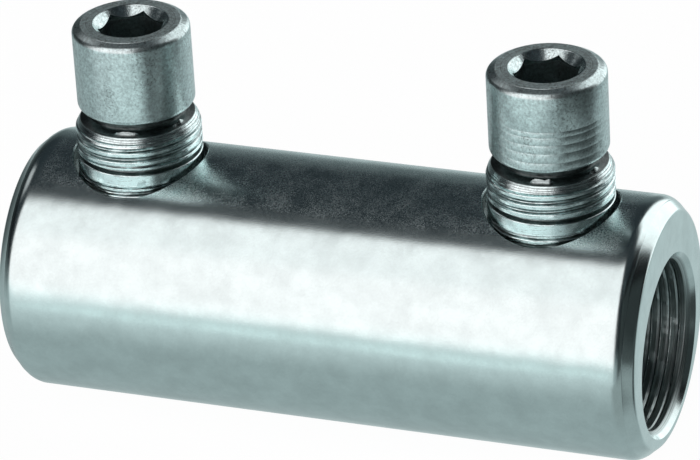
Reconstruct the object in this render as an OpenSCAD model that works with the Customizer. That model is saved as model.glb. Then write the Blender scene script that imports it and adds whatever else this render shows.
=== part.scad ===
// Mechanical cable connector: a round bar with a blind conductor bore in each end,
// and a stepped shear bolt over each bore that clamps the conductor.
// The origin is the centre of the right mouth, +X runs out of it and +Z along the bolts.

/* [Body] */
// Outside diameter of the body
body_d = 25; // [24:0.5:30]
// Length of the body
body_len = 63; // [58:1:90]
// Length of the chamfer at each end, along the body
end_chamfer_len = 1.5; // [1:0.1:2]
// Depth of the chamfer at each end, inwards from the outside
end_chamfer_depth = 1.3; // [0.8:0.1:1.4]
// Radius that blends the chamfer into the end face
end_blend_r = 0.6; // [0.3:0.1:0.9]

/* [Conductor bores] */
// Diameter of each bore
bore_d = 16.2; // [14:0.1:16.8]
// Distance of the bore axis below the body axis, which leaves the thick wall to the bolts
bore_drop = 1.7; // [0.5:0.1:1.8]
// Width of the lead-in cone round each mouth, across its slope
mouth_lead_w = 0.75; // [0.3:0.05:0.8]
// Depth of the lead-in cone at each mouth
mouth_lead_h = 0.8; // [0.4:0.1:1.5]
// Solid wall left between the two bores
stop_wall = 3; // [2:0.5:8]

/* [Bolt holes] */
// Distance of each bolt axis from its end of the body
bolt_inset = 11; // [10:0.5:16]
// Gap on the radius between a bolt's thread crests and its hole
thread_clear = 0.05; // [0.02:0.01:0.09]
// Width of the relief round the top of each bolt hole
relief_w = 0.35; // [0.2:0.05:0.5]
// Depth of that relief below the crown of the body
relief_h = 2; // [1.8:0.1:2.5]

/* [Shear bolts] */
// Diameter over the thread crests
thread_d = 12; // [11.5:0.1:12.5]
// Distance from one thread crest to the next
thread_pitch = 0.95; // [0.8:0.05:1.25]
// Depth of a thread groove
thread_depth = 0.3; // [0.15:0.05:0.4]
// Width of a thread groove at its mouth
thread_w = 0.45; // [0.3:0.05:0.6]
// Diameter of the head
head_d = 11.2; // [10.4:0.1:11.4]
// Height of the head
head_h = 8.45; // [7.5:0.05:10]
// Width of the chamfer round the head's top face
head_chamfer_w = 0.88; // [0.4:0.02:1]
// Height of that chamfer
head_chamfer_h = 0.45; // [0.3:0.05:0.8]
// Radius under the head's lower edge
head_round_r = 0.6; // [0.3:0.1:0.8]
// Diameter of the neck that shears first
neck_d = 9; // [8:0.1:9.6]
// Height of the neck
neck_h = 0.75; // [0.5:0.05:1.5]
// Height of the upper threaded stage
upper_h = 3.65; // [3:0.05:6]
// Diameter at the top of the upper stage, where its lead-in cone starts
shoulder_d = 11; // [10.6:0.1:11.2]
// Height of the bevel between the neck and the shoulder
shoulder_bevel_h = 0.45; // [0.2:0.05:0.6]
// Height of the lead-in cone from the shoulder to the thread crests
shoulder_h = 0.9; // [0.5:0.05:1.2]
// Diameter of the groove that shears second
groove_d = 10.5; // [9.8:0.1:10.8]
// Height of the second shear groove
groove_h = 0.5; // [0.4:0.05:1]
// Height of the lower threaded stage, down to the tip
lower_h = 6.2; // [5:0.1:8]
// Plain band at the top of the lower stage
lower_band = 0.9; // [0.5:0.1:1.5]
// Chamfer round the tip
tip_chamfer = 0.6; // [0.3:0.1:1]
// Gap between the tip and the conductor bore, at its highest line
tip_gap = 0.2; // [0.1:0.1:1]

/* [Hexagon sockets] */
// Width across the flats
hex_af = 5.5; // [5:0.1:6]
// Depth of the flats below the top face
hex_depth = 6; // [4:0.5:7]
// Depth of the drill point under the flats
hex_point_h = 1.2; // [0.5:0.1:1.5]
// Diameter of the lead-in cone at the top face
hex_lead_d = 7.2; // [7:0.1:7.8]
// Turn of the left bolt's hexagon about its axis
hex_turn_left = 29; // [0:1:59]
// Turn of the right bolt's hexagon about its axis
hex_turn_right = 27; // [0:1:59]

/* [Hidden] */
$fn = 96;

// Steps of the small arcs in the outlines
arc_steps = 6;
// Sides of a hexagon
hex_sides = 6;
// How far a cutter runs past the face that it starts from
cut_past = 1;

body_r = body_d / 2;
bore_r = bore_d / 2;
bore_depth = (body_len - stop_wall) / 2;
mouth_r = bore_r + mouth_lead_w;
crown_z = bore_drop + body_r;

thread_r = thread_d / 2;
hole_r = thread_r + thread_clear;
relief_r = hole_r + relief_w;
left_bolt_x = bolt_inset - body_len;
right_bolt_x = -bolt_inset;

tip_z = bore_r + tip_gap;
lower_top_z = tip_z + lower_h;
upper_base_z = lower_top_z + groove_h;
upper_top_z = upper_base_z + upper_h;
head_base_z = upper_top_z + neck_h;
head_top_z = head_base_z + head_h;
head_r = head_d / 2;
neck_r = neck_d / 2;
shoulder_r = shoulder_d / 2;
groove_r = groove_d / 2;
hex_lead_r = hex_lead_d / 2;
hex_corner_r = hex_af / 2 / cos(180 / hex_sides);

// Angle between the end face and the chamfer, and the arc that blends them
chamfer_angle = atan2(end_chamfer_len, end_chamfer_depth);
face_r = body_r - end_chamfer_depth;
blend_centre_r = face_r - end_blend_r * tan(chamfer_angle / 2);

// Points of an arc about (cx, cy) from angle a0 to a1
function arc(cx, cy, r, a0, a1) = [
    for (i = [0:arc_steps])
        let (a = a0 + (a1 - a0) * i / arc_steps)
        [cx + r * cos(a), cy + r * sin(a)]
];

// The same outline points seen from the other end of the body
function from_far_end(points) = [
    for (i = [len(points) - 1:-1:0])
        [points[i][0], body_len - points[i][1]]
];

// V grooves of depth d and width w along a wall of radius r, one each pitch from z0 to z1
function v_grooves(r, d, w, pitch, z0, z1) = [
    for (i = [0:floor((z1 - z0 - w) / pitch)])
        let (z = z0 + w / 2 + i * pitch)
        each [[r, z - w / 2], [r - d, z], [r, z + w / 2]]
];

// Outside of one end, from the axis over the face and the chamfer to the full diameter
function end_outline() = concat(
    [[0, 0]],
    arc(blend_centre_r, end_blend_r, end_blend_r, -90, chamfer_angle - 90),
    [[body_r, end_chamfer_len]]
);

// Turned bar, along -X from the right end face
module bar() {
    translate([0, 0, bore_drop])
        rotate([0, -90, 0])
            rotate_extrude()
                polygon(concat(end_outline(), from_far_end(end_outline())));
}

// Space of one blind bore with its lead-in cone, along -X
module bore_space() {
    rotate([0, -90, 0]) {
        cylinder(h = bore_depth, r = bore_r);
        cylinder(h = mouth_lead_h, r1 = mouth_r, r2 = bore_r);
    }
    rotate([0, 90, 0])
        cylinder(h = cut_past, r = mouth_r);
}

// Hole for one bolt, from inside the bore up through the thick wall
module bolt_hole(x) {
    translate([x, 0, 0])
        cylinder(h = crown_z + cut_past, r = hole_r);
    translate([x, 0, crown_z - relief_h])
        cylinder(h = relief_h + cut_past, r = relief_r);
}

module connector_body() {
    color("silver")
        difference() {
            bar();
            bore_space();
            translate([-body_len, 0, 0])
                mirror([1, 0, 0])
                    bore_space();
            bolt_hole(left_bolt_x);
            bolt_hole(right_bolt_x);
        }
}

// Outline of the two threaded stages, the shear groove between them and the neck
function stages_outline() = concat(
    [[0, tip_z], [thread_r - tip_chamfer, tip_z], [thread_r, tip_z + tip_chamfer]],
    v_grooves(thread_r, thread_depth, thread_w, thread_pitch,
        tip_z + tip_chamfer, lower_top_z - lower_band),
    [[thread_r, lower_top_z], [groove_r, lower_top_z]],
    [[groove_r, upper_base_z], [thread_r, upper_base_z]],
    v_grooves(thread_r, thread_depth, thread_w, thread_pitch,
        upper_base_z + thread_pitch - thread_w, upper_top_z - shoulder_bevel_h - shoulder_h),
    [[thread_r, upper_top_z - shoulder_bevel_h - shoulder_h]],
    [[shoulder_r, upper_top_z - shoulder_bevel_h], [neck_r, upper_top_z], [neck_r, head_base_z]]
);

// Outline of the plain head, rounded below and chamfered above
function head_outline() = concat(
    arc(head_r - head_round_r, head_base_z + head_round_r, head_round_r, -90, 0),
    [[head_r, head_top_z - head_chamfer_h]],
    [[head_r - head_chamfer_w, head_top_z], [0, head_top_z]]
);

// Space of the hexagon socket with its lead-in cone and drill point
module socket_space(turn) {
    translate([0, 0, head_top_z - hex_depth])
        rotate([0, 0, turn])
            cylinder(h = hex_depth + cut_past, r = hex_corner_r, $fn = hex_sides);
    translate([0, 0, head_top_z - hex_depth - hex_point_h])
        cylinder(h = hex_point_h, r1 = 0, r2 = hex_af / 2);
    translate([0, 0, head_top_z - hex_lead_r + hex_af / 2])
        cylinder(h = hex_lead_r - hex_af / 2, r1 = hex_af / 2, r2 = hex_lead_r);
}

// One shear bolt, turned from one bar, standing over its bore
module shear_bolt(x, turn) {
    translate([x, 0, 0])
        difference() {
            rotate_extrude()
                polygon(concat(stages_outline(), head_outline()));
            socket_space(turn);
        }
}

module shear_bolt_left() {
    color("darkgray")
        shear_bolt(left_bolt_x, hex_turn_left);
}

module shear_bolt_right() {
    color("darkgray")
        shear_bolt(right_bolt_x, hex_turn_right);
}

connector_body();
shear_bolt_left();
shear_bolt_right();
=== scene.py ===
from math import cos, hypot, pi, radians, sin, sqrt, tan

import bmesh
import bpy
import numpy as np
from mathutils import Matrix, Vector


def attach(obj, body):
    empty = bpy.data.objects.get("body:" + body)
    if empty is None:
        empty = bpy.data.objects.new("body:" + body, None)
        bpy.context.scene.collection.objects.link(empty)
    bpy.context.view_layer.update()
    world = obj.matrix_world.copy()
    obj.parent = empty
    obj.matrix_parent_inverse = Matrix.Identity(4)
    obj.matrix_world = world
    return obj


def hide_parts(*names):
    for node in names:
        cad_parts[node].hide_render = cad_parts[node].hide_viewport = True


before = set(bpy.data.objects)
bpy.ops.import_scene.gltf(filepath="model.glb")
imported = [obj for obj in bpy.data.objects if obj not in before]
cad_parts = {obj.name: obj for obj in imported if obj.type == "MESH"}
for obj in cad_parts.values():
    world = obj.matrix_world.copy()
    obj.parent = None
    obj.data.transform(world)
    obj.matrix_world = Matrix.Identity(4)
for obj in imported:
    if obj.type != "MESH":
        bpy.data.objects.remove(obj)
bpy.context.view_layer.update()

# Sizes are in millimetres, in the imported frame, and are turned to metres once.
MM = 0.001

# Body: a bar along X, with its axis above the axis of its two bores
BODY_R = 12.5
BODY_LEN = 63.0
BORE_DROP = 1.7
CHAMFER_LEN = 1.5
CHAMFER_DEPTH = 1.3
CHAMFER_EDGE_R = 1.7
FACE_EDGE_R = 0.6
# From this far behind each end face the outside is a true cylinder, and is shaded as one. Its
# places are told by their radius and by the cosine between their face and the true surface.
SKIN_START = 2.4
SKIN_MARGIN = 0.1
SKIN_TOLERANCE = 0.02
SKIN_FACING = 0.98
# A fine ridge that the tool left along the chamfer, and its distance from the end face
RIDGE_PLACE = 1.27
RIDGE_W = 0.07
RIDGE_H = 0.02

# Bores
MOUTH_R = 8.85
MOUTH_DEPTH = 0.8
MOUTH_EDGE_R = 0.1
LIP_R = 0.12
BORE_R = 8.1
BORE_DEPTH = 30.0
BORE_END_BEVEL = 0.3
# The thread in them, from this far behind the mouth to this far before the bottom
GRIP_START = 0.9
GRIP_END = 3.0
GRIP_FADE_IN = 0.35
GRIP_FADE_OUT = 1.0
GRIP_PITCH = 0.93
GRIP_DEPTH = 0.3
# Places in one pitch, and the share of the depth that the groove has there
GRIP_GROOVE = {0.0: 0.0, 0.52: 0.0, 0.58: 1.0, 0.66: 0.95, 0.76: 0.3}
# The least and most that wear leaves of the depth
GRIP_WORN = (0.5, 1.15)
# How far round from the level the thread's start stands
THREAD_SEAM = radians(55)

# Bolt holes through the thick wall
BOLT_X = {"left": -52.0, "right": -11.0}
HOLE_R = 6.05
RELIEF_R = 6.4
RELIEF_DEPTH = 2.0
RIM_BEVEL = 0.16
# Limits of the cutter, from inside the bore to this far over the body
CUTTER_BASE_Z = 1.0
CUTTER_OVER = 2.0

# Shear bolts, along Z: the lower stage with its tip
TIP_Z = 8.3
TIP_CHAMFER = 0.6
LOWER_TOP_Z = 14.5
LOWER_BAND = 1.15
LOWER_TURNS = 5
BAND_EDGE_R = 0.12
# The groove over it
GROOVE_R = 5.25
GROOVE_EDGE_R = 0.1
# The upper stage, which thins to the shoulder
UPPER_BASE_Z = 15.0
UPPER_TOP_Z = 18.65
UPPER_EDGE_R = 0.08
SHOULDER_R = 5.5
SHOULDER_BEVEL = 0.45
SHOULDER_H = 0.9
SHOULDER_EDGE_R = 0.1
# The thread on both stages
THREAD_R = 6.0
THREAD_PITCH = 0.93
THREAD_DEPTH = 0.3
# Places in one pitch, and the share of the depth that the groove has there
THREAD_GROOVE = {
    0.0: 0.1,
    0.05: 0.0,
    0.36: 0.0,
    0.42: 0.12,
    0.55: 1.0,
    0.68: 0.3,
    0.75: 0.35,
    0.86: 0.9,
}
# The height over which it fades at each end, and the least and most that wear leaves of its depth
RUN_OUT = 0.3
THREAD_WORN = (0.3, 1.1)
# How far the plain band lies under the crests, and how far over the groove the upper thread starts
BAND_SINK = 0.02
BAND_H = 0.1
# Torn metal on the shoulder, where the bolt's neck began: middle and half width of each place, in
# degrees, its height, the mean share of it that stands, and the radii of its foot, top and foot
BURRS = [(-80, 15), (-19, 10), (66, 12), (171, 14)]
BURR_H = 0.38
BURR_MEAN = 0.75
BURR_RADII = (5.3, 5.05, 4.9)
# The neck and the head
NECK_R = 4.5
NECK_FOOT_R = 0.3
NECK_TOP_R = 0.2
HEAD_BASE_Z = 19.4
HEAD_TOP_Z = 27.85
HEAD_R = 5.6
HEAD_ROUND_R = 0.6
HEAD_CHAMFER_W = 0.88
HEAD_CHAMFER_H = 0.45
HEAD_EDGE_R = 0.6
HEAD_FACE_R = 0.2
# Heights of the tool's marks round each head
TOOL_MARKS = {"left": [], "right": [20.6, 21.55, 22.4, 23.2, 23.75]}
TOOL_MARK_DEPTH = 0.012
TOOL_MARK_W = 0.09
# The hexagon socket, with its lead-in cone and the point that the drill left
SOCKET_AF = 5.5
SOCKET_DEPTH = 6.0
SOCKET_POINT = 1.2
SOCKET_FLOOR_SHARE = 0.98
SOCKET_LEAD_R = 3.6
SOCKET_LEAD_H = 0.5
SOCKET_EDGE_R = 0.08

# For each bolt: the turn of its socket in degrees, the columns from a corner of the socket to the
# threads' level start, and the seed of its wear
BOLTS = {"left": (29, 40, 5), "right": (27, 100, 8)}

# Columns round each turned form
BODY_COLUMNS = 192
BOLT_COLUMNS = 144
HOLE_COLUMNS = 96
# Edges that turn by more than this stay sharp
SHARP_ANGLE = radians(21)
# Points closer than this are one
MERGE = 2e-4


def waves(seed, amount, across, along, count=7):
    """A smooth wobble over the angle and the height, the same each run. It has whole waves round,
    at most across of them, and changes along the height at most at the rate along."""
    random = np.random.default_rng(seed)
    turns = random.integers(1, across + 1, count)
    rates = random.uniform(-along, along, count)
    phases = random.uniform(0, 2 * pi, count)

    def wobble(angle, height):
        total = 0
        for turn, rate, phase in zip(turns, rates, phases):
            total = total + np.sin(turn * angle + rate * height + phase)
        return amount * total / sqrt(count)

    return wobble


def smooth_step(value, low, high):
    """0 below low, 1 above high, and smooth between them."""
    share = np.clip((value - low) / (high - low), 0, 1)
    return share * share * (3 - 2 * share)


def rounded(points, radii, steps=4):
    """The outline with its corners rounded: one radius per point, 0 for a sharp corner."""
    out = []
    for i, (point, radius) in enumerate(zip(points, radii)):
        if radius == 0 or i in (0, len(points) - 1):
            out.append(point)
            continue
        here = np.array(point, float)
        back = np.array(points[i - 1], float) - here
        ahead = np.array(points[i + 1], float) - here
        back /= hypot(*back)
        ahead /= hypot(*ahead)
        half = np.arccos(np.clip(back @ ahead, -1, 1)) / 2
        middle = (back + ahead) / hypot(*(back + ahead))
        centre = here + middle * radius / sin(half)
        start = here + back * radius / tan(half) - centre
        end = here + ahead * radius / tan(half) - centre
        for share in np.linspace(0, 1, steps + 1):
            spoke = start * (1 - share) + end * share
            out.append(tuple(centre + spoke * radius / hypot(*spoke)))
    return out


def plain_rings(points, angles):
    """One ring per outline point (radius, height)."""
    ones = np.ones_like(angles)
    return [(r * ones, h * ones) for r, h in points]


def thread_rings(start, turns, pitch, phases, radius, angles):
    """Rings that follow a right-hand helix from a level start to a level end.
    radius(height, phase, angle) gives the surface, where phase is the place in one pitch."""
    share = (angles - angles[0]) / (2 * pi)
    rings = []

    def add(height, phase):
        rings.append((radius(height, phase, angles), height))

    for phase in phases:
        add(start + pitch * phase * share, phase)
    for turn in range(turns - 1):
        for phase in phases:
            add(start + pitch * (turn + phase + share), phase)
    for phase in phases:
        add(start + pitch * (turns - 1 + share + phase * (1 - share)), phase)
    add(start + pitch * turns * np.ones_like(angles), 0.0)
    return rings


def closed_mesh(name, rows):
    """A closed mesh from rows of points, each row once round, joined row to row."""
    points = np.array(rows) * MM
    count, columns, _ = points.shape
    index = np.arange(count * columns).reshape(count, columns)
    faces = np.stack([index[:-1, :-1], index[:-1, 1:], index[1:, 1:], index[1:, :-1]], axis=-1)
    mesh = bpy.data.meshes.new(name)
    mesh.from_pydata(points.reshape(-1, 3).tolist(), [], faces.reshape(-1, 4).tolist())
    shape = bmesh.new()
    shape.from_mesh(mesh)
    bmesh.ops.remove_doubles(shape, verts=shape.verts, dist=MERGE * MM)
    bmesh.ops.recalc_face_normals(shape, faces=shape.faces)
    shape.to_mesh(mesh)
    shape.free()
    mesh.update()
    return mesh


def smooth_but_edges(mesh):
    """Smooth shading, with the true edges kept sharp."""
    mesh.shade_smooth()
    mesh.set_sharp_from_angle(angle=SHARP_ANGLE)


def new_object(name, data):
    made = bpy.data.objects.new(name, data)
    bpy.context.scene.collection.objects.link(made)
    return made


# Body


def body_row(radius, x, lift, angles):
    """Points of a ring round the X direction, whose centre lies lift above the bore axis."""
    x = np.broadcast_to(x, angles.shape)
    return np.stack([x, radius * np.cos(angles), lift + radius * np.sin(angles)], axis=-1)


def bore_rings(angles, seed):
    """Rings of one bore, as (radius, depth), from its bottom to the lip of its lead-in cone.
    The thread fades in behind the lip and out before the bottom."""
    end = BORE_DEPTH - GRIP_END
    turns = int((end - GRIP_START) / GRIP_PITCH)
    start = end - turns * GRIP_PITCH
    wear = waves(seed, amount=0.1, across=9, along=1.5)
    chatter = waves(seed + 1, amount=0.03, across=60, along=9, count=12)

    def radius(depth, phase, angle):
        fade_in = smooth_step(depth, start, start + GRIP_FADE_IN)
        fade_out = smooth_step(-depth, -end, GRIP_FADE_OUT - end)
        worn = np.clip(1 + wear(angle, depth), *GRIP_WORN)
        groove = GRIP_DEPTH * GRIP_GROOVE[phase] * worn
        return BORE_R + fade_in * fade_out * (groove + np.abs(chatter(angle, depth)))

    threads = thread_rings(start, turns, GRIP_PITCH, list(GRIP_GROOVE), radius, angles)
    bottom = [
        (0, BORE_DEPTH),
        (BORE_R - BORE_END_BEVEL, BORE_DEPTH),
        (BORE_R, BORE_DEPTH - BORE_END_BEVEL),
    ]
    floor = plain_rings(bottom, angles)
    lip = rounded([(BORE_R, start), (BORE_R, MOUTH_DEPTH), (MOUTH_R, 0)], [0, LIP_R, 0])
    return floor + threads[::-1] + plain_rings(lip[1:-1], angles)


def body_rows():
    """The whole surface of the body, from the bottom of the left bore to that of the right one."""
    angles = np.linspace(0, 2 * pi, BODY_COLUMNS + 1)
    face_r = BODY_R - CHAMFER_DEPTH
    along = np.array([CHAMFER_DEPTH, CHAMFER_LEN]) / hypot(CHAMFER_DEPTH, CHAMFER_LEN)
    ridge = np.array([face_r, 0]) + along * RIDGE_PLACE
    outline = rounded(
        [
            (MOUTH_R, 0),
            (face_r, 0),
            tuple(ridge - along * RIDGE_W),
            (ridge[0] + along[1] * RIDGE_H, ridge[1] - along[0] * RIDGE_H),
            tuple(ridge + along * RIDGE_W),
            (BODY_R, CHAMFER_LEN),
            (BODY_R, SKIN_START),
            (BODY_R, BODY_LEN / 2),
        ],
        [0, FACE_EDGE_R, 0, 0, 0, CHAMFER_EDGE_R, 0, 0],
        steps=8,
    )
    mouth_edge = rounded([(BORE_R, 1), (MOUTH_R, 0), (face_r, 0)], [0, MOUTH_EDGE_R, 0])[1:-1]

    def end_rows(angles, seed):
        rows = [body_row(radius, -depth, 0, angles) for radius, depth in bore_rings(angles, seed)]
        rows += [body_row(radius, -depth, 0, angles) for radius, depth in mouth_edge]
        rows += [body_row(radius, -depth, BORE_DROP, angles) for radius, depth in outline[1:-1]]
        return rows

    # The left end is made like the right one, then turned half round about the vertical.
    right = end_rows(angles + THREAD_SEAM, seed=23)
    left = end_rows(angles + pi - THREAD_SEAM, seed=11)
    left = [(row * [-1, -1, 1] - [BODY_LEN, 0, 0])[::-1] for row in left]
    return left + right[::-1]


def surface_z(radius, angle):
    """Height of the body's outside over a point of a circle round a bolt's axis."""
    return BORE_DROP + np.sqrt(BODY_R**2 - (radius * np.sin(angle)) ** 2)


def hole_cutter(name, x):
    """The space of one bolt hole, with a bevel that follows the edge over the round body."""
    angles = np.linspace(0, 2 * pi, HOLE_COLUMNS + 1)
    ones = np.ones_like(angles)
    crown = BORE_DROP + BODY_R
    flare_r = RELIEF_R + 2 * RIM_BEVEL
    rings = [
        (0 * ones, CUTTER_BASE_Z * ones),
        (HOLE_R * ones, CUTTER_BASE_Z * ones),
        (HOLE_R * ones, (crown - RELIEF_DEPTH) * ones),
        (RELIEF_R * ones, (crown - RELIEF_DEPTH) * ones),
        (RELIEF_R * ones, surface_z(RELIEF_R, angles) - RIM_BEVEL),
        (flare_r * ones, surface_z(flare_r, angles) + RIM_BEVEL),
        (flare_r * ones, (crown + CUTTER_OVER) * ones),
        (0 * ones, (crown + CUTTER_OVER) * ones),
    ]
    rows = [np.stack([x + r * np.cos(angles), r * np.sin(angles), z], axis=-1) for r, z in rings]
    return new_object(name, closed_mesh(name, rows))


def true_round_normals(mesh):
    """Shades the body's outside from the true cylinder, so that the cuts leave no marks."""
    normals = np.array([normal.vector for normal in mesh.corner_normals], dtype=np.float64)
    places = np.array([vertex.co for vertex in mesh.vertices], dtype=np.float64)
    loop_vertex = np.empty(len(mesh.loops), dtype=np.int64)
    mesh.loops.foreach_get("vertex_index", loop_vertex)
    corner = places[loop_vertex]
    spoke = corner - np.array([0, 0, BORE_DROP * MM])
    spoke[:, 0] = 0
    radius = np.linalg.norm(spoke, axis=1)
    spoke /= np.maximum(radius, 1e-9)[:, None]
    edge = (SKIN_START - SKIN_MARGIN) * MM
    face_normals = np.array([face.normal for face in mesh.polygons])
    face_normal = np.repeat(face_normals, [face.loop_total for face in mesh.polygons], axis=0)
    on_skin = np.abs(radius - BODY_R * MM) < SKIN_TOLERANCE * MM
    on_skin &= (corner[:, 0] < -edge) & (corner[:, 0] > edge - BODY_LEN * MM)
    on_skin &= np.einsum("ij,ij->i", face_normal, spoke) > SKIN_FACING
    normals[on_skin] = spoke[on_skin]
    mesh.normals_split_custom_set(normals.tolist())


def make_body():
    body = new_object("turned_body", closed_mesh("turned_body", body_rows()))
    cutters = [hole_cutter(f"cutter_{side}", x) for side, x in BOLT_X.items()]
    for cutter in cutters:
        cut = body.modifiers.new("hole", "BOOLEAN")
        cut.operation = "DIFFERENCE"
        cut.solver = "EXACT"
        cut.object = cutter
    bpy.context.view_layer.update()
    graph = bpy.context.evaluated_depsgraph_get()
    made = bpy.data.meshes.new_from_object(body.evaluated_get(graph))
    body.modifiers.clear()
    body.data = made
    for cutter in cutters:
        bpy.data.objects.remove(cutter)
    smooth_but_edges(made)
    true_round_normals(made)
    return body


# Bolts


def head_side(marks):
    """Outline of the head's side, upwards, with the fine marks that the tool left round it."""
    points = []
    for z in marks:
        points += [
            (HEAD_R, z - TOOL_MARK_W / 2),
            (HEAD_R - TOOL_MARK_DEPTH, z),
            (HEAD_R, z + TOOL_MARK_W / 2),
        ]
    return points


def burr_share(angles):
    """1 where torn metal stands on the shoulder, 0 elsewhere."""
    share = 0
    for middle, half in BURRS:
        away = (angles - radians(middle) + pi) % (2 * pi) - pi
        share = share + smooth_step(-np.abs(away), -radians(half), -radians(half) / 2)
    return share


def thread_stages(angles, seed):
    """Rings of the two threaded stages, with the plain band and the shear groove between them."""
    wear = waves(seed, amount=0.22, across=13, along=3)
    ragged = waves(seed + 1, amount=0.014, across=60, along=16, count=14)

    def worn_thread(envelope, start, turns):
        end = start + turns * THREAD_PITCH

        def radius(height, phase, angle):
            fade_in = smooth_step(height, start, start + RUN_OUT)
            fade_out = smooth_step(-height, -end, RUN_OUT - end)
            worn = np.clip(1 + wear(angle, height), *THREAD_WORN)
            depth = fade_in * fade_out * THREAD_DEPTH * THREAD_GROOVE[phase] * worn
            return np.minimum(envelope(height), THREAD_R - depth - np.abs(ragged(angle, height)))

        return thread_rings(start, turns, THREAD_PITCH, list(THREAD_GROOVE), radius, angles)

    def lower_envelope(height):
        return THREAD_R - TIP_CHAMFER + np.clip(height - TIP_Z, 0, TIP_CHAMFER)

    def upper_envelope(height):
        share = np.clip((UPPER_TOP_Z - SHOULDER_BEVEL - height) / SHOULDER_H, 0, 1)
        return SHOULDER_R + (THREAD_R - SHOULDER_R) * share

    lower_end = LOWER_TOP_Z - LOWER_BAND
    upper_start = UPPER_BASE_Z + BAND_H
    upper_turns = int((UPPER_TOP_Z - SHOULDER_BEVEL - UPPER_BASE_Z) / THREAD_PITCH)
    band_r = THREAD_R - BAND_SINK
    band = rounded(
        [
            (band_r, lower_end),
            (band_r, LOWER_TOP_Z),
            (GROOVE_R, LOWER_TOP_Z),
            (GROOVE_R, UPPER_BASE_Z),
            (band_r, UPPER_BASE_Z),
            (band_r, upper_start + BAND_H),
        ],
        [0, BAND_EDGE_R, GROOVE_EDGE_R, GROOVE_EDGE_R, UPPER_EDGE_R, 0],
    )
    lower = worn_thread(lower_envelope, lower_end - LOWER_TURNS * THREAD_PITCH, LOWER_TURNS)
    upper = worn_thread(upper_envelope, upper_start, upper_turns)
    return lower + plain_rings(band[1:-1], angles) + upper


def shoulder_point(radius):
    """A point of the sloping shoulder, as (radius, height)."""
    return radius, UPPER_TOP_Z - SHOULDER_BEVEL * (radius - NECK_R)


def shoulder_rings(angles, seed):
    """Rings of the shoulder, with the torn metal on it."""
    corner = rounded(
        [
            (SHOULDER_R, UPPER_TOP_Z - SHOULDER_BEVEL - SHOULDER_EDGE_R),
            (SHOULDER_R, UPPER_TOP_Z - SHOULDER_BEVEL),
            (NECK_R, UPPER_TOP_Z),
        ],
        [0, SHOULDER_EDGE_R, 0],
    )
    ragged = waves(seed, amount=0.3, across=50, along=1, count=12)
    burr = BURR_H * np.clip(BURR_MEAN + ragged(angles, 0), 0.2, 1) * burr_share(angles)
    torn = plain_rings([shoulder_point(radius) for radius in BURR_RADII], angles)
    outer, (top_r, top_z), inner = torn
    return plain_rings(corner[1:-1], angles) + [outer, (top_r, top_z + burr), inner]


def head_outline(marks):
    """Outline of the neck and the head, from the shoulder up to the rim of the socket."""
    neck = rounded(
        [
            shoulder_point(BURR_RADII[-1]),
            (NECK_R, UPPER_TOP_Z),
            (NECK_R, HEAD_BASE_Z),
            (HEAD_R - HEAD_ROUND_R, HEAD_BASE_Z),
        ],
        [0, NECK_FOOT_R, NECK_TOP_R, 0],
    )
    low_corner = rounded(
        [(NECK_R, HEAD_BASE_Z), (HEAD_R, HEAD_BASE_Z), (HEAD_R, HEAD_TOP_Z)],
        [0, HEAD_ROUND_R, 0],
        steps=6,
    )
    top = rounded(
        [
            (HEAD_R, HEAD_BASE_Z + HEAD_ROUND_R),
            (HEAD_R, HEAD_TOP_Z - HEAD_CHAMFER_H),
            (HEAD_R - HEAD_CHAMFER_W, HEAD_TOP_Z),
            (SOCKET_LEAD_R, HEAD_TOP_Z),
            (SOCKET_LEAD_R - SOCKET_LEAD_H, HEAD_TOP_Z - SOCKET_LEAD_H),
        ],
        [0, HEAD_EDGE_R, HEAD_FACE_R, SOCKET_EDGE_R, 0],
        steps=6,
    )
    return neck[1:-1] + low_corner[1:-1] + head_side(marks) + top[1:-1]


def socket_rings(angles, socket_turn):
    """Rings of the hexagon socket, from the foot of its lead-in cone to the drill's point."""
    flat = SOCKET_AF / 2
    sixth = pi / 3
    turn = (angles - radians(socket_turn)) % sixth - sixth / 2
    hexagon = flat / np.cos(turn)
    ones = np.ones_like(angles)
    bottom = HEAD_TOP_Z - SOCKET_DEPTH
    return [
        (hexagon, HEAD_TOP_Z - SOCKET_LEAD_R + hexagon),
        (hexagon, bottom * ones),
        (flat * SOCKET_FLOOR_SHARE * ones, bottom * ones),
        (0 * ones, (bottom - SOCKET_POINT) * ones),
    ]


def bolt_rows(side, socket_turn, seam, seed):
    """The whole surface of one bolt, from the tip to the bottom of its socket."""
    angles = np.linspace(0, 2 * pi, BOLT_COLUMNS + 1)
    angles += radians(socket_turn + seam * 360 / BOLT_COLUMNS)
    rings = plain_rings([(0, TIP_Z), (THREAD_R - TIP_CHAMFER, TIP_Z)], angles)
    rings += thread_stages(angles, seed)
    rings += shoulder_rings(angles, seed + 2)
    rings += plain_rings(head_outline(TOOL_MARKS[side]), angles)
    rings += socket_rings(angles, socket_turn)
    rows = []
    for radius, height in rings:
        height = np.broadcast_to(height, angles.shape)
        rows.append(np.stack([radius * np.cos(angles), radius * np.sin(angles), height], axis=-1))
    return rows


def make_bolt(side, socket_turn, seam, seed):
    """One bolt, whose own frame stands on its axis."""
    name = f"turned_bolt_{side}"
    mesh = closed_mesh(name, bolt_rows(side, socket_turn, seam, seed))
    smooth_but_edges(mesh)
    bolt = new_object(name, mesh)
    bolt.location.x = BOLT_X[side] * MM
    return bolt


# Materials

BODY_COLOUR = (0.67, 0.79, 0.785)
BOLT_COLOUR = (0.6, 0.72, 0.72)
# The most that any part of the bolts' colour may be
BRIGHTEST = 0.98
# The scuffed zone on top of the body: the heights, and the distances from each end, where it starts
# and is full
SCUFFED_Z = (12.0, 13.2)
SCUFFED_ENDS = (2.0, 3.2)
# Lines of the facing tool on the bolts' tops, in a millimetre of radius
FACING_LINES = 7.0


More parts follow.
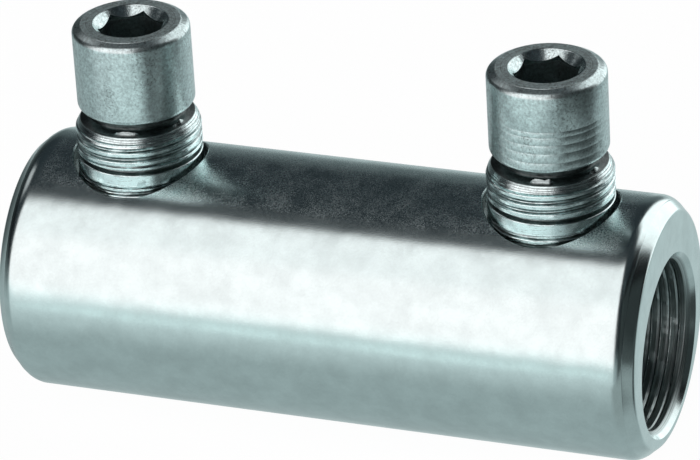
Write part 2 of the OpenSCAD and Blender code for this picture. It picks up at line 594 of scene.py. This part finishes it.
def put(tree, kind, inputs=(), **settings):
    """Adds a node with its settings. An input is a link from an output, or a value."""
    made = tree.nodes.new(kind)
    for key, value in settings.items():
        setattr(made, key, value)
    for key, value in dict(inputs).items():
        if isinstance(value, bpy.types.NodeSocket):
            tree.links.new(value, made.inputs[key])
        else:
            made.inputs[key].default_value = value
    return made


def ramp(tree, value, low, high, out_low=0.0, out_high=1.0, smooth=True):
    """The value mapped from low..high to out_low..out_high, and clamped."""
    kind = "SMOOTHSTEP" if smooth else "LINEAR"
    inputs = {"Value": value, "From Min": low, "From Max": high}
    inputs.update({"To Min": out_low, "To Max": out_high})
    return put(tree, "ShaderNodeMapRange", inputs, interpolation_type=kind).outputs["Result"]


def maths(tree, operation, first, second=0.0):
    return put(tree, "ShaderNodeMath", {0: first, 1: second}, operation=operation).outputs[0]


def window(tree, value, low, full_low, full_high, high):
    """1 between the full values, 0 outside the others."""
    rise = ramp(tree, value, low, full_low)
    fall = ramp(tree, value, full_high, high, 1.0, 0.0)
    return maths(tree, "MULTIPLY", rise, fall)


def noise(tree, place, scale, detail=2.0, roughness=0.5):
    inputs = {"Vector": place, "Scale": scale, "Detail": detail, "Roughness": roughness}
    return put(tree, "ShaderNodeTexNoise", inputs).outputs["Fac"]


def vector_maths(tree, operation, inputs):
    return put(tree, "ShaderNodeVectorMath", inputs, operation=operation).outputs


def stretched(tree, place, scale):
    """The coordinates in millimetres, times a scale for each direction."""
    return vector_maths(tree, "MULTIPLY", {0: place, 1: tuple(s / MM for s in scale)})[0]


def mixed_value(tree, share, first, second):
    """first where the share is 0, second where it is 1."""
    return ramp(tree, share, 0.0, 1.0, first, second, False)


def within(tree, zone, value):
    """The value in the zone, 1 outside it."""
    return mixed_value(tree, zone, 1.0, value)


def varied(tree, pattern, half, low, high):
    """low to high as a noise goes from half under its middle, which is 0.5, to half over it."""
    return ramp(tree, pattern, 0.5 - half, 0.5 + half, low, high, False)


def product(tree, *values):
    total = values[0]
    for value in values[1:]:
        total = maths(tree, "MULTIPLY", total, value)
    return total


def colour_sum(tree, first, second):
    return vector_maths(tree, "ADD", {0: first, 1: second})[0]


def scaled(tree, colour, amount):
    return vector_maths(tree, "SCALE", {0: colour, "Scale": amount})[0]


def bumped(tree, height, distance, normal=None):
    """Small relief: distance is in millimetres, for a height of 1."""
    inputs = {"Strength": 1.0, "Distance": distance * MM, "Height": height}
    if normal is not None:
        inputs["Normal"] = normal
    return put(tree, "ShaderNodeBump", inputs).outputs[0]


def metal_tree(name):
    """A metal material, with its shader and its coordinates in millimetres."""
    material = bpy.data.materials.new(name)
    material.use_nodes = True
    tree = material.node_tree
    shader = tree.nodes["Principled BSDF"]
    shader.inputs["Metallic"].default_value = 1.0
    place = put(tree, "ShaderNodeTexCoord").outputs["Object"]
    return material, tree, shader, place


def finish_metal(tree, shader, colour, level, rough, normal):
    tree.links.new(scaled(tree, colour, level), shader.inputs["Base Color"])
    tree.links.new(rough, shader.inputs["Roughness"])
    tree.links.new(normal, shader.inputs["Normal"])


def axis_distance(tree, even, x):
    """Distance from the upright axis at x, all in millimetres."""
    flat = vector_maths(tree, "MULTIPLY", {0: even, 1: (1, 1, 0)})[0]
    return vector_maths(tree, "DISTANCE", {0: flat, 1: (x, 0, 0)})["Value"]


def body_metal():
    """Turned bar: fine rings from the tool, salt and pepper grain, and soft cloudy patches.
    The top between the ends is scuffed, with a stronger grain. The bores are rougher, and their
    colour and that of the bolt holes' walls is painted darker as shade."""
    material, tree, shader, place = metal_tree("body_metal")
    even = stretched(tree, place, (1, 1, 1))
    x, y, z = put(tree, "ShaderNodeSeparateXYZ", {0: even}).outputs
    rings = noise(tree, stretched(tree, place, (7, 0.03, 0.03)), 1.0, 3.0, 0.6)
    grain = noise(tree, even, 6.0, 2.0, 0.75)
    patches = noise(tree, even, 0.4, 4.0, 0.6)
    clouds = noise(tree, even, 0.16, 2.0, 0.5)

    # Zones, 1 in each and 0 outside
    from_bore = maths(tree, "SQRT", maths(tree, "ADD", product(tree, y, y), product(tree, z, z)))
    # The bores: rougher, and their colour is painted darker as shade
    inside = ramp(tree, from_bore, BORE_R + 0.45, BORE_R + 0.2)
    start, full = SCUFFED_ENDS
    between = window(tree, x, start - BODY_LEN, full - BODY_LEN, -full, -start)
    scuffed = product(tree, ramp(tree, z, *SCUFFED_Z), between)
    from_axes = [axis_distance(tree, even, hole_x) for hole_x in BOLT_X.values()]
    # The walls of the bolt holes, whose colour is painted darker as shade
    shaded_hole_wall = product(
        tree,
        ramp(tree, maths(tree, "MINIMUM", *from_axes), RELIEF_R + 0.06, RELIEF_R + 0.02),
        ramp(tree, z, BORE_R, BORE_R + 1),
    )

    dark = mixed_value(tree, scuffed, 0.97, 0.8)
    light = mixed_value(tree, scuffed, 1.03, 1.4)
    level = product(
        tree,
        varied(tree, grain, 0.18, dark, light),
        varied(tree, patches, 0.15, 0.93, 1.05),
        # Painted shade in the bores, varied by the tool's rings
        within(tree, inside, varied(tree, rings, 0.15, 0.32, 0.8)),
        # Painted shade on the walls of the bolt holes
        within(tree, shaded_hole_wall, 0.4),
    )
    rough = product(
        tree,
        varied(tree, patches, 0.2, 0.2, 0.15),
        within(tree, inside, 2.2),
        within(tree, scuffed, varied(tree, patches, 0.15, 1.0, 1.8)),
        within(tree, scuffed, varied(tree, grain, 0.15, 0.85, 1.35)),
    )
    normal = bumped(tree, clouds, 0.05)
    normal = bumped(tree, product(tree, rings, mixed_value(tree, inside, 0.08, 1.0)), 0.01, normal)
    normal = bumped(tree, product(tree, grain, within(tree, scuffed, 2.2)), 0.003, normal)
    finish_metal(tree, shader, BODY_COLOUR, level, rough, normal)
    return material


def bolt_metal():
    """Dull turned metal with a mottled grain and a few pits. The thread crests are worn bright
    and smooth, and the torn metal on the shoulder is smooth and painted bright as a glint. The
    grooves, the necks and the deep socket are painted dark as shade, and the facing tool left rings
    on the top."""
    material, tree, shader, place = metal_tree("bolt_metal")
    even = stretched(tree, place, (1, 1, 1))
    z = put(tree, "ShaderNodeSeparateXYZ", {0: even}).outputs[2]
    radius = axis_distance(tree, even, 0)
    streaks = noise(tree, stretched(tree, place, (0.55, 0.55, 8)), 1.0, 3.0, 0.65)
    lines = noise(tree, stretched(tree, place, (0.06, 0.06, 10)), 1.0, 3.0, 0.6)
    grain = noise(tree, even, 3.6, 3.0, 0.75)
    fine = noise(tree, even, 4.5, 1.0, 0.5)
    patches = noise(tree, even, 0.9, 3.0, 0.6)
    pitted = noise(tree, stretched(tree, place, (0.35, 0.35, 0.2)), 1.0, 1.0, 0.5)
    faced = maths(tree, "MULTIPLY", radius, FACING_LINES)
    facing = noise(tree, put(tree, "ShaderNodeCombineXYZ", {0: faced}).outputs[0], 1.0, 2.0, 0.6)
    wobbly = maths(tree, "ADD", radius, varied(tree, streaks, 0.2, -0.05, 0.05))

    # Zones, 1 in each and 0 outside: the head, and the stages under it with crests and grooves
    head = ramp(tree, z, HEAD_BASE_Z - 0.2, HEAD_BASE_Z + 0.1)
    stages = maths(tree, "SUBTRACT", 1.0, head)
    worn = product(tree, stages, ramp(tree, wobbly, THREAD_R - 0.12, THREAD_R - 0.02))
    # The thread grooves, whose colour is painted darker as shade
    shaded_grooves = product(tree, stages, ramp(tree, wobbly, THREAD_R - 0.05, THREAD_R - 0.28))
    # The neck with the shoulder under it, whose colour is painted dark as shade under the head
    neck = product(
        tree,
        ramp(tree, radius, SHOULDER_R + 0.05, SHOULDER_R - 0.1),
        ramp(tree, z, UPPER_TOP_Z - 0.6, UPPER_TOP_Z - 0.4),
        ramp(tree, z, HEAD_BASE_Z + 0.25, HEAD_BASE_Z),
    )
    # The top face, the socket, and the socket's parts under and over the foot of its lead-in cone.
    # The part under it is painted darker as shade.
    top = product(
        tree,
        ramp(tree, z, HEAD_TOP_Z - 0.06, HEAD_TOP_Z - 0.02),
        ramp(tree, radius, SOCKET_LEAD_R - 0.2, SOCKET_LEAD_R),
    )
    bottom = HEAD_TOP_Z - SOCKET_DEPTH
    socket = product(
        tree,
        ramp(tree, radius, SOCKET_LEAD_R + 0.05, SOCKET_LEAD_R),
        ramp(tree, z, bottom - 1.5, bottom - 1),
    )
    # Deep in the socket, where the colour is painted darker as shade
    shaded_deep_socket = product(tree, socket, ramp(tree, z, HEAD_TOP_Z - 0.8, HEAD_TOP_Z - 1.2))
    mouth = product(tree, socket, ramp(tree, z, HEAD_TOP_Z - 1, HEAD_TOP_Z - 0.8))
    # The plain band between the two threaded stages
    clean = product(
        tree,
        ramp(tree, z, LOWER_TOP_Z - LOWER_BAND, LOWER_TOP_Z - LOWER_BAND + 0.1),
        ramp(tree, z, LOWER_TOP_Z - 0.05, LOWER_TOP_Z - 0.15),
    )
    # The cone that the upper thread runs out on, bright in lines
    cone = product(
        tree,
        stages,
        ramp(tree, z, UPPER_TOP_Z - 1.5, UPPER_TOP_Z - 1.3),
        ramp(tree, radius, SHOULDER_R - 0.1, SHOULDER_R),
        ramp(tree, lines, 0.44, 0.58, 0.1, 0.9),
    )
    # The torn metal, which stands over the sloping shoulder. It is smoother, painted brighter as a
    # glint, and spared the neck's painted shade.
    over_slope = maths(tree, "ADD", z, product(tree, radius, SHOULDER_BEVEL))
    slope = UPPER_TOP_Z + SHOULDER_BEVEL * NECK_R
    glint = product(
        tree,
        neck,
        ramp(tree, over_slope, slope + 0.04, slope + 0.12),
        ramp(tree, radius, NECK_R + 0.1, NECK_R + 0.3),
    )
    rubbed_and_glint = maths(tree, "MAXIMUM", maths(tree, "MAXIMUM", worn, cone), glint)
    pits = product(tree, head, ramp(tree, fine, 0.58, 0.64), ramp(tree, pitted, 0.5, 0.6))

    level = product(
        tree,
        varied(tree, grain, 0.2, 0.72, 1.28),
        varied(tree, patches, 0.2, 0.86, 1.14),
        within(tree, stages, varied(tree, streaks, 0.15, 0.72, 1.28)),
        within(tree, clean, 1.2),
        # Crests and lines worn bright, and a painted highlight on the torn metal
        within(tree, rubbed_and_glint, 1.45),
        # Painted shade in the grooves
        within(tree, maths(tree, "MINIMUM", shaded_grooves, maths(tree, "SUBTRACT", 1.0, cone)), 0.45),
        # Painted shade on the neck, spared on the torn metal
        within(tree, maths(tree, "SUBTRACT", neck, glint), 0.3),
        within(tree, pits, 0.6),
        # Painted shade deep in the socket
        within(tree, shaded_deep_socket, 0.6),
        within(tree, top, varied(tree, facing, 0.15, 0.65, 1.05)),
    )
    level = maths(tree, "MINIMUM", level, BRIGHTEST / max(BOLT_COLOUR))
    dull = mixed_value(tree, mouth, mixed_value(tree, top, 0.3, 0.58), 0.2)
    rough = mixed_value(tree, rubbed_and_glint, dull, 0.18)
    normal = bumped(tree, product(tree, lines, within(tree, top, 0.0)), 0.004)
    normal = bumped(tree, product(tree, facing, top), 0.05, normal)
    normal = bumped(tree, product(tree, streaks, stages, within(tree, clean, 0.25)), 0.02, normal)
    normal = bumped(tree, grain, 0.011, normal)
    finish_metal(tree, shader, BOLT_COLOUR, level, rough, normal)
    return material


# Studio

# The camera, fitted to the photograph
CAMERA_AZIMUTH = radians(21.2195)
CAMERA_ELEVATION = radians(27.9134)
CAMERA_ROLL = radians(-3.4572)
CAMERA_DISTANCE = 476.606
CAMERA_LENS = 259.61
CAMERA_SENSOR = 36.0
CAMERA_TARGET = Vector((-31.1725, 0, 8.2407))
CAMERA_NEAR = 10
CAMERA_FAR = 20000


def make_camera():
    """The camera at the photograph's viewing angle."""
    azimuth, elevation, roll = CAMERA_AZIMUTH, CAMERA_ELEVATION, CAMERA_ROLL
    back = Vector((sin(azimuth) * cos(elevation), -cos(azimuth) * cos(elevation), sin(elevation)))
    right = Vector((cos(azimuth), sin(azimuth), 0))
    up = back.cross(right)
    turned_right = right * cos(roll) + up * sin(roll)
    turned_up = up * cos(roll) - right * sin(roll)
    data = bpy.data.cameras.new("camera")
    data.lens = CAMERA_LENS
    data.sensor_fit = "HORIZONTAL"
    data.sensor_width = CAMERA_SENSOR
    data.clip_start = CAMERA_NEAR * MM
    data.clip_end = CAMERA_FAR * MM
    camera = new_object("camera", data)
    matrix = camera.matrix_world.copy()
    for i, axis in enumerate((turned_right, turned_up, back)):
        for j in range(3):
            matrix[j][i] = axis[j]
    matrix.translation = (CAMERA_TARGET + back * CAMERA_DISTANCE) * MM
    camera.matrix_world = matrix
    bpy.context.scene.camera = camera


def empty_tree(owner):
    """The node tree of a material or a world, without any node."""
    owner.use_nodes = True
    owner.node_tree.nodes.clear()
    return owner.node_tree


def azimuth_from(tree, x, y, centre):
    """Angle of a direction seen from above, 0 at the centre's azimuth and growing to its right."""
    c, s = cos(radians(centre)), sin(radians(centre))
    ahead = maths(tree, "SUBTRACT", maths(tree, "MULTIPLY", x, s), maths(tree, "MULTIPLY", y, c))
    aside = maths(tree, "ADD", maths(tree, "MULTIPLY", x, c), maths(tree, "MULTIPLY", y, s))
    return maths(tree, "ARCTAN2", aside, ahead)


WHITE = (1, 1, 1, 1)

# Soft panels of the studio: azimuth of the middle (0 is in front, 90 on the right), the half widths
# where the panel is full and where it ends, the elevations where it starts, is full, is still full
# and ends, and its colour. The first one ends over the body at FRONT_EDGE.
PANELS = [
    (-20, 34, 48, (-14, -1, 88, 90), (1.2, 1.12, 1.12)),
    (-20, 30, 48, (-10, 2, 34, 48), (0.14, 0.09, 0.09)),
    (-20, 34, 42, (-48, -10, -12, -2), (0.35, 0.37, 0.37)),
    (52, 3, 8, (-5, 3, 50, 60), (0.12, 0.15, 0.15)),
    (74, 20, 28, (-16, -6, 34, 44), (0.25, 0.3, 0.3)),
    (148, 24, 32, (-12, -3, 48, 62), (1.32, 1.3, 1.3)),
    (176, 18, 44, (-62, -40, -18, 4), (0.16, 0.18, 0.18)),
    (-165, 40, 70, (-20, -5, 8, 26), (0.1, 0.12, 0.12)),
    (-108, 8, 18, (26, 38, 50, 58), (0.55, 0.52, 0.52)),
]
# Angles over the body, from the front through the zenith, where the front panel ends and is full
FRONT_EDGE = (84, 78)
# The pale floor under the horizon, the elevations where it starts and is full, and the dim room
FLOOR_GLOW = (0.362, 0.412, 0.412)
HORIZON = (4, -12)
ROOM_DARK = (0.024, 0.031, 0.036)
# Dark cards: azimuth of the middle, half widths, elevations, and what each lets through
CARDS = [
    (80, 30, 50, (-46, -34, 40, 62), 0.12),
    (-112, 24, 50, (-21, -8, 18, 28), 0.3),
]
# The floor: its half width, its colour, and the strength and share of the white that the camera
# sees
FLOOR_HALF = 1500
FLOOR_COLOUR = (0.8, 0.84, 0.84, 1)
FLOOR_WHITE = 1.04
FLOOR_WHITE_SHARE = 0.93
# The lowest height of the body, and how far the floor and the cards on it lie under it
FLOOR_Z = BORE_DROP - BODY_R
FLOOR_GAP = 0.02
CARD_GAP = 0.01
# Pale cards on the floor, which only reflections show. Each has the limits of X and of Y where it
# starts, is full, is still full and ends, the X + Y where it ends and is full, and its glow at two
# places along Y.
FLOOR_CARDS = {
    "right_card": ((-4, 5, 46, 56), (-45, -36, -20, -8), (100, 90), (-40, 0.36), (-14, 0.36)),
    "front_card": ((-84, -70, 14, 20), (-104, -92, -50, -42), (-62, -74), (-76, 0.76), (-52, 0.98)),
}


def make_world():
    """White behind the object. What lights it is a dim room with soft panels and dark cards."""
    world = bpy.data.worlds.new("studio")
    bpy.context.scene.world = world
    tree = empty_tree(world)
    direction = put(tree, "ShaderNodeTexCoord").outputs["Generated"]
    x, y, z = put(tree, "ShaderNodeSeparateXYZ", {0: direction}).outputs
    elevation = maths(tree, "ARCSINE", z)
    over = maths(tree, "ARCTAN2", z, maths(tree, "MULTIPLY", y, -1.0))
    before_edge = ramp(tree, over, *[radians(angle) for angle in FRONT_EDGE])

    def patch(centre, full, end, heights):
        aside = azimuth_from(tree, x, y, centre)
        across = window(tree, aside, *[radians(angle) for angle in (-end, -full, full, end)])
        upright = window(tree, elevation, *[radians(angle) for angle in heights])
        return maths(tree, "MULTIPLY", across, upright)

    below = ramp(tree, elevation, *[radians(angle) for angle in HORIZON])
    total = colour_sum(tree, scaled(tree, FLOOR_GLOW, below), ROOM_DARK)
    for i, (centre, full, end, heights, colour) in enumerate(PANELS):
        amount = patch(centre, full, end, heights)
        if i == 0:
            amount = maths(tree, "MULTIPLY", amount, before_edge)
        total = colour_sum(tree, total, scaled(tree, colour, amount))
    for centre, full, end, heights, through in CARDS:
        total = scaled(tree, total, within(tree, patch(centre, full, end, heights), through))
    room = put(tree, "ShaderNodeBackground", {"Color": total, "Strength": 1.0})
    white = put(tree, "ShaderNodeBackground", {"Color": WHITE, "Strength": 1.0})
    seen = put(tree, "ShaderNodeLightPath").outputs["Is Camera Ray"]
    mixed = put(tree, "ShaderNodeMixShader", {0: seen, 1: room.outputs[0], 2: white.outputs[0]})
    put(tree, "ShaderNodeOutputWorld", {"Surface": mixed.outputs[0]})


def level_sheet(name, across, along, z):
    """A rectangle that lies level, between two limits of X and two of Y."""
    (x0, x1), (y0, y1) = across, along
    corners = [(x0, y0), (x1, y0), (x1, y1), (x0, y1)]
    mesh = bpy.data.meshes.new(name)
    mesh.from_pydata([(x * MM, y * MM, z * MM) for x, y in corners], [], [(0, 1, 2, 3)])
    return new_object(name, mesh)


def make_floor():
    """A plain pale floor that shows white and keeps a soft shadow of the object."""
    limits = (-FLOOR_HALF, FLOOR_HALF)
    floor = level_sheet("floor", limits, limits, FLOOR_Z - FLOOR_GAP)
    material = bpy.data.materials.new("pale_floor")
    tree = empty_tree(material)
    pale = put(tree, "ShaderNodeBsdfDiffuse", {"Color": FLOOR_COLOUR})
    white = put(tree, "ShaderNodeEmission", {"Color": WHITE, "Strength": FLOOR_WHITE})
    seen = put(tree, "ShaderNodeLightPath").outputs["Is Camera Ray"]
    share = maths(tree, "MULTIPLY", seen, FLOOR_WHITE_SHARE)
    mixed = put(tree, "ShaderNodeMixShader", {0: share, 1: pale.outputs[0], 2: white.outputs[0]})
    put(tree, "ShaderNodeOutputMaterial", {"Surface": mixed.outputs[0]})
    floor.data.materials.append(material)
    floor.visible_glossy = False


def make_floor_card(name, across, along, slant, far, near):
    """A pale card with soft edges on the floor. Its glow changes along Y from far to near,
    each (y, glow)."""
    card = level_sheet(name, (across[0], across[-1]), (along[0], along[-1]), FLOOR_Z - CARD_GAP)
    material = bpy.data.materials.new(name)
    tree = empty_tree(material)
    place = stretched(tree, put(tree, "ShaderNodeTexCoord").outputs["Object"], (1, 1, 1))
    x, y, _ = put(tree, "ShaderNodeSeparateXYZ", {0: place}).outputs
    cut = ramp(tree, maths(tree, "ADD", x, y), *slant)
    share = product(tree, window(tree, x, *across), window(tree, y, *along), cut)
    level = ramp(tree, y, far[0], near[0], far[1], near[1], False)
    tint = [value / max(FLOOR_GLOW) for value in FLOOR_GLOW]
    glow = put(tree, "ShaderNodeEmission", {"Color": scaled(tree, tint, level), "Strength": 1.0})
    clear = put(tree, "ShaderNodeBsdfTransparent")
    mixed = put(tree, "ShaderNodeMixShader", {0: share, 1: clear.outputs[0], 2: glow.outputs[0]})
    put(tree, "ShaderNodeOutputMaterial", {"Surface": mixed.outputs[0]})
    card.data.materials.append(material)
    card.visible_camera = False
    card.visible_diffuse = False
    card.visible_shadow = False


bpy.context.scene.view_settings.view_transform = "Standard"
make_camera()
make_world()
make_floor()
for name, card in FLOOR_CARDS.items():
    make_floor_card(name, *card)

body = make_body()
body.data.materials.clear()
body.data.materials.append(body_metal())
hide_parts("connector_body")
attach(body, "body")

bolt_surface = bolt_metal()
for side, details in BOLTS.items():
    bolt = make_bolt(side, *details)
    bolt.data.materials.append(bolt_surface)
    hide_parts(f"shear_bolt_{side}")
    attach(bolt, f"{side}_bolt")
